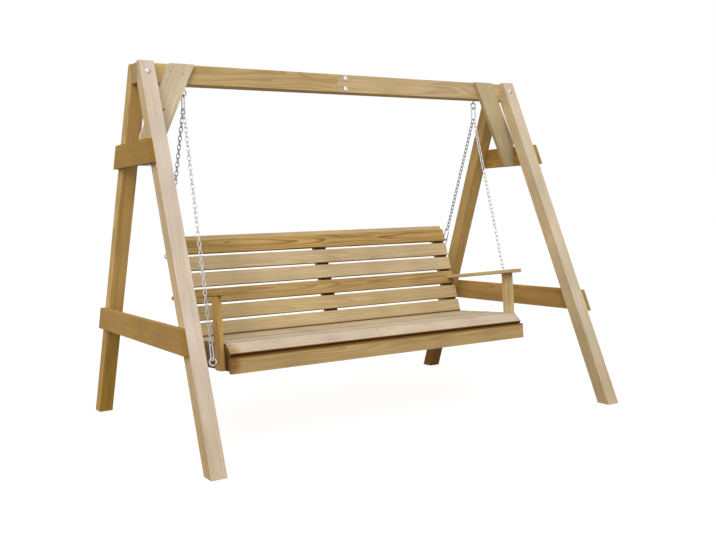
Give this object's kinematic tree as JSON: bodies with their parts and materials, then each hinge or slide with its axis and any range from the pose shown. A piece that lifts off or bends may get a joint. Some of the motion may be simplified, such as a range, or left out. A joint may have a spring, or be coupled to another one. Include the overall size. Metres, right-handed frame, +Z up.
{
  "type": "garden swing seat",
  "caption": "Timber garden swing: a slatted bench with armrests hung on chains and spring hooks from the beam of an A-frame stand.",
  "frame": {"origin": "on the ground, in the middle of the stand's footprint", "axes": "+X along the beam, to the right as seen from the front; +Y to the rear; +Z up"},
  "size_m": [2.2898, 1.636, 1.747],
  "materials": {
    "timber": "matte",
    "hardware_steel": "satin",
    "chain_steel": "satin"
  },
  "bodies": {
    "frame": {"front_leg_left": "timber", "front_leg_right": "timber", "rear_leg_left": "timber", "rear_leg_right": "timber", "upper_tie_left": "timber", "upper_tie_right": "timber", "lower_tie_left": "timber", "lower_tie_right": "timber", "knee_brace_left": "timber", "knee_brace_right": "timber", "beam_half_left": "timber", "beam_half_right": "timber", "frame_bolts": "hardware_steel", "frame_nuts": "hardware_steel", "beam_eyebolts": "hardware_steel"},
    "swing": {"beam_hook_left": "hardware_steel", "beam_hook_right": "hardware_steel", "front_chain_left": "chain_steel", "front_chain_right": "chain_steel", "rear_chain_left": "chain_steel", "rear_chain_right": "chain_steel", "front_hook_left": "hardware_steel", "front_hook_right": "hardware_steel", "rear_hook_left": "hardware_steel", "rear_hook_right": "hardware_steel", "bench_eyebolts": "hardware_steel", "bench_nuts": "hardware_steel", "seat_slat_1": "timber", "seat_slat_2": "timber", "seat_slat_3": "timber", "seat_slat_4": "timber", "seat_slat_5": "timber", "seat_slat_6": "timber", "back_slat_1": "timber", "back_slat_2": "timber", "back_slat_3": "timber", "back_slat_4": "timber", "back_slat_5": "timber", "back_slat_6": "timber", "side_rail_left": "timber", "side_rail_right": "timber", "upright_left": "timber", "upright_right": "timber", "arm_post_left": "timber", "arm_post_right": "timber", "armrest_left": "timber", "armrest_right": "timber", "middle_rail": "timber", "upright_middle": "timber", "apron": "timber", "back_cap": "timber"},
    "beam_hook_gate_left": {"beam_hook_gate_left": "hardware_steel"},
    "beam_hook_gate_right": {"beam_hook_gate_right": "hardware_steel"},
    "front_hook_gate_left": {"front_hook_gate_left": "hardware_steel"},
    "front_hook_gate_right": {"front_hook_gate_right": "hardware_steel"},
    "rear_hook_gate_left": {"rear_hook_gate_left": "hardware_steel"},
    "rear_hook_gate_right": {"rear_hook_gate_right": "hardware_steel"}
  },
  "joints": [
    {"name": "swing_hang", "type": "hinge", "parent": "frame", "child": "swing", "pos_m": [0, 0, 1.594], "axis": [1, 0, 0], "range_deg": [-30, 30]},
    {"name": "beam_hook_gate_left_hinge", "type": "hinge", "parent": "swing", "child": "beam_hook_gate_left", "pos_m": [-0.868, -0.016, 1.5533], "axis": [-1, 0, 0], "range_deg": [0, 28], "stiffness_Nm_per_rad": 0.1, "springref_deg": -28.65},
    {"name": "beam_hook_gate_right_hinge", "type": "hinge", "parent": "swing", "child": "beam_hook_gate_right", "pos_m": [0.868, -0.016, 1.5533], "axis": [-1, 0, 0], "range_deg": [0, 28], "stiffness_Nm_per_rad": 0.1, "springref_deg": -28.65},
    {"name": "front_hook_gate_left_hinge", "type": "hinge", "parent": "swing", "child": "front_hook_gate_left", "pos_m": [-0.88749, -0.30156, 0.41012], "axis": [-0.9999, 0.004, 0.0161], "range_deg": [0, 28], "stiffness_Nm_per_rad": 0.1, "springref_deg": -28.65},
    {"name": "front_hook_gate_right_hinge", "type": "hinge", "parent": "swing", "child": "front_hook_gate_right", "pos_m": [0.88749, -0.30156, 0.41012], "axis": [-0.9999, -0.004, -0.0161], "range_deg": [0, 28], "stiffness_Nm_per_rad": 0.1, "springref_deg": -28.65},
    {"name": "rear_hook_gate_left_hinge", "type": "hinge", "parent": "swing", "child": "rear_hook_gate_left", "pos_m": [-0.868, 0.30106, 0.87143], "axis": [1, 0, 0], "range_deg": [0, 28], "stiffness_Nm_per_rad": 0.1, "springref_deg": -28.65},
    {"name": "rear_hook_gate_right_hinge", "type": "hinge", "parent": "swing", "child": "rear_hook_gate_right", "pos_m": [0.868, 0.30106, 0.87143], "axis": [1, 0, 0], "range_deg": [0, 28], "stiffness_Nm_per_rad": 0.1, "springref_deg": -28.65}
  ]
}
